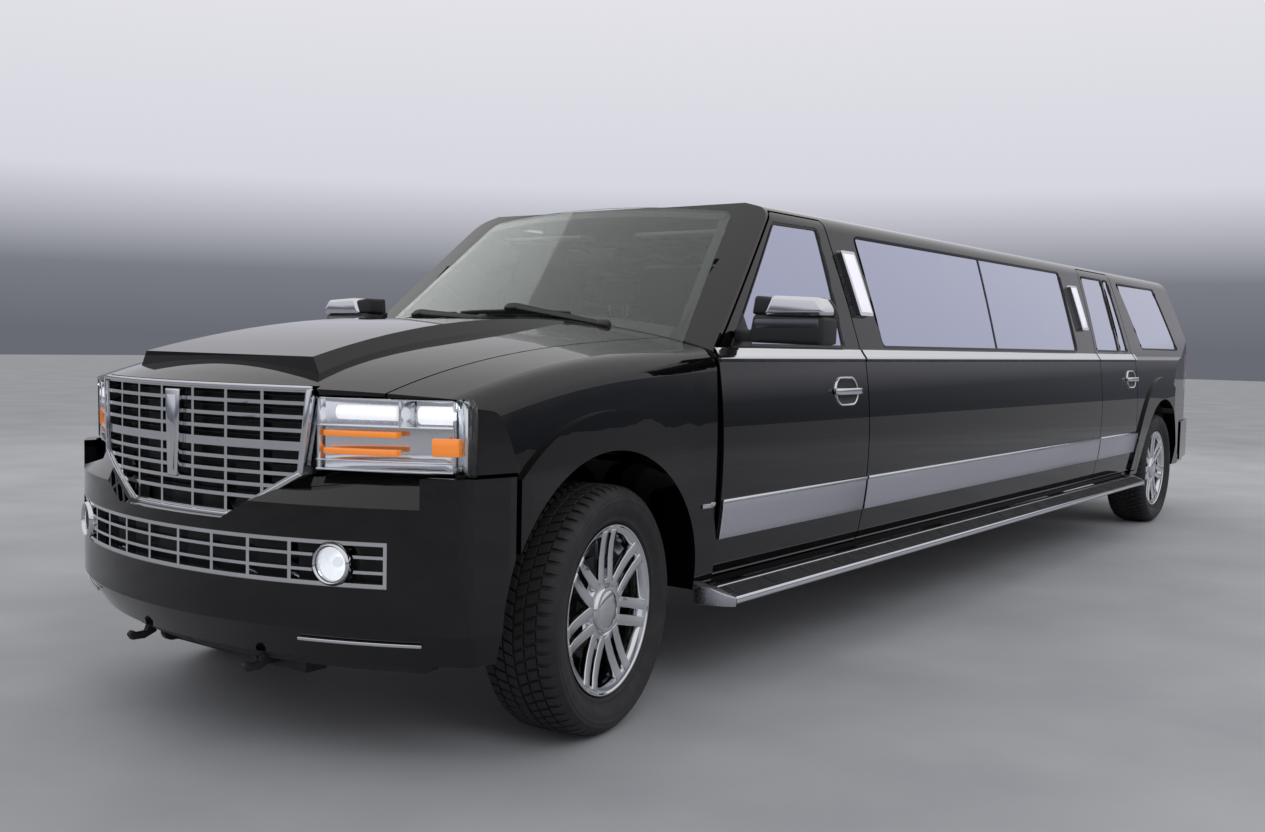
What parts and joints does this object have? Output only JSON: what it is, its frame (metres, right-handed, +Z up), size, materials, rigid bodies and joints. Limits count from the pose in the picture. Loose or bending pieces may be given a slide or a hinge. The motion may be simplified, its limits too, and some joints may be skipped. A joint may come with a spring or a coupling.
{
  "type": "stretch limousine",
  "caption": "Black stretch limousine on a full-size SUV body, with opening doors, hood and tailgate, steered front wheels and wheels that turn freely.",
  "frame": {"origin": "middle of the vehicle's length and width, on the ground under the tyres", "axes": "+X forward, +Y to the vehicle's left, +Z up"},
  "size_m": [9, 2.6398, 1.93],
  "materials": {
    "paint": "gloss",
    "chrome": "gloss",
    "trim_black": "matte",
    "clear_glass": "gloss",
    "dark_glass": "gloss",
    "lamp_clear": "gloss",
    "lamp_white": "gloss",
    "lamp_red": "gloss",
    "tyre_rubber": "matte",
    "underbody": "matte",
    "exhaust_steel": "satin",
    "cast_metal": "matte",
    "seat_leather": "satin",
    "cabinet_wood": "satin",
    "dash": "matte"
  },
  "bodies": {
    "body": {"bar_cabinet": "cabinet_wood", "body_sides": "paint", "cabin_seats": "seat_leather", "chassis_frame": "underbody", "cowl": "trim_black", "crossmembers": "underbody", "dashboard": "dash", "driveshaft": "underbody", "engine_block": "cast_metal", "exhaust": "exhaust_steel", "floor_pan": "underbody", "fog_lamps": "lamp_clear", "front_bumper": "paint", "front_fenders": "paint", "front_seats": "seat_leather", "front_suspension": "underbody", "grille": "chrome", "headlamps": "lamp_clear", "lower_grille": "chrome", "opera_lamps": "lamp_white", "partition": "cabinet_wood", "rear_axle": "underbody", "rear_bumper": "paint", "rear_panel": "paint", "roof": "paint", "running_boards": "trim_black", "side_windows": "dark_glass", "steering_wheel": "trim_black", "tail_lamps": "lamp_red", "wheel_wells": "underbody", "windscreen": "clear_glass"},
    "hood": {"hood": "paint"},
    "tailgate": {"tailgate": "paint", "tailgate_glass": "dark_glass"},
    "front_door_left": {"front_door_left": "paint", "front_door_glass_left": "dark_glass", "mirror_left": "chrome"},
    "rear_door_left": {"rear_door_left": "paint", "rear_door_glass_left": "dark_glass"},
    "knuckle_left": {"knuckle_left": "underbody"},
    "wheel_front_left": {"wheel_front_left": "chrome", "tyre_front_left": "tyre_rubber"},
    "wheel_rear_left": {"wheel_rear_left": "chrome", "tyre_rear_left": "tyre_rubber"},
    "front_door_right": {"front_door_right": "paint", "front_door_glass_right": "dark_glass", "mirror_right": "chrome"},
    "rear_door_right": {"rear_door_right": "paint", "rear_door_glass_right": "dark_glass"},
    "knuckle_right": {"knuckle_right": "underbody"},
    "wheel_front_right": {"wheel_front_right": "chrome", "tyre_front_right": "tyre_rubber"},
    "wheel_rear_right": {"wheel_rear_right": "chrome", "tyre_rear_right": "tyre_rubber"}
  },
  "joints": [
    {"name": "front_door_left_hinge", "type": "hinge", "parent": "body", "child": "front_door_left", "pos_m": [2.912, 1.002, 0.85], "axis": [0, 0, -1], "range_deg": [0, 65]},
    {"name": "rear_door_left_hinge", "type": "hinge", "parent": "body", "child": "rear_door_left", "pos_m": [-1.668, 1.002, 0.85], "axis": [0, 0, -1], "range_deg": [0, 65]},
    {"name": "steer_left", "type": "hinge", "parent": "body", "child": "knuckle_left", "pos_m": [3.54, 0.76, 0.405], "axis": [0, 0, 1], "range_deg": [-41, 23]},
    {"name": "front_left_spin", "type": "hinge", "parent": "knuckle_left", "child": "wheel_front_left", "pos_m": [3.52561, 0.85087, 0.405], "axis": [-0.1564, 0.9877, 0], "continuous": true},
    {"name": "rear_left_spin", "type": "hinge", "parent": "body", "child": "wheel_rear_left", "pos_m": [-3.19, 0.852, 0.405], "axis": [0, 1, 0], "continuous": true},
    {"name": "front_door_right_hinge", "type": "hinge", "parent": "body", "child": "front_door_right", "pos_m": [2.912, -1.002, 0.85], "axis": [0, 0, 1], "range_deg": [0, 65]},
    {"name": "rear_door_right_hinge", "type": "hinge", "parent": "body", "child": "rear_door_right", "pos_m": [-1.668, -1.002, 0.85], "axis": [0, 0, 1], "range_deg": [0, 65]},
    {"name": "steer_right", "type": "hinge", "parent": "body", "child": "knuckle_right", "pos_m": [3.54, -0.76, 0.405], "axis": [0, 0, 1], "range_deg": [-41, 23]},
    {"name": "front_right_spin", "type": "hinge", "parent": "knuckle_right", "child": "wheel_front_right", "pos_m": [3.55439, -0.85087, 0.405], "axis": [-0.1564, 0.9877, 0], "continuous": true},
    {"name": "rear_right_spin", "type": "hinge", "parent": "body", "child": "wheel_rear_right", "pos_m": [-3.19, -0.852, 0.405], "axis": [0, 1, 0], "continuous": true},
    {"name": "hood_hinge", "type": "hinge", "parent": "body", "child": "hood", "pos_m": [2.93, 0, 1.335], "axis": [0, -1, 0], "range_deg": [0, 50]},
    {"name": "tailgate_hinge", "type": "hinge", "parent": "body", "child": "tailgate", "pos_m": [-3.796, 0, 1.881], "axis": [0, 1, 0], "range_deg": [0, 80]}
  ],
  "couplings": [
    {"joint": "steer_right", "follows": "steer_left", "ratio": 1}
  ]
}
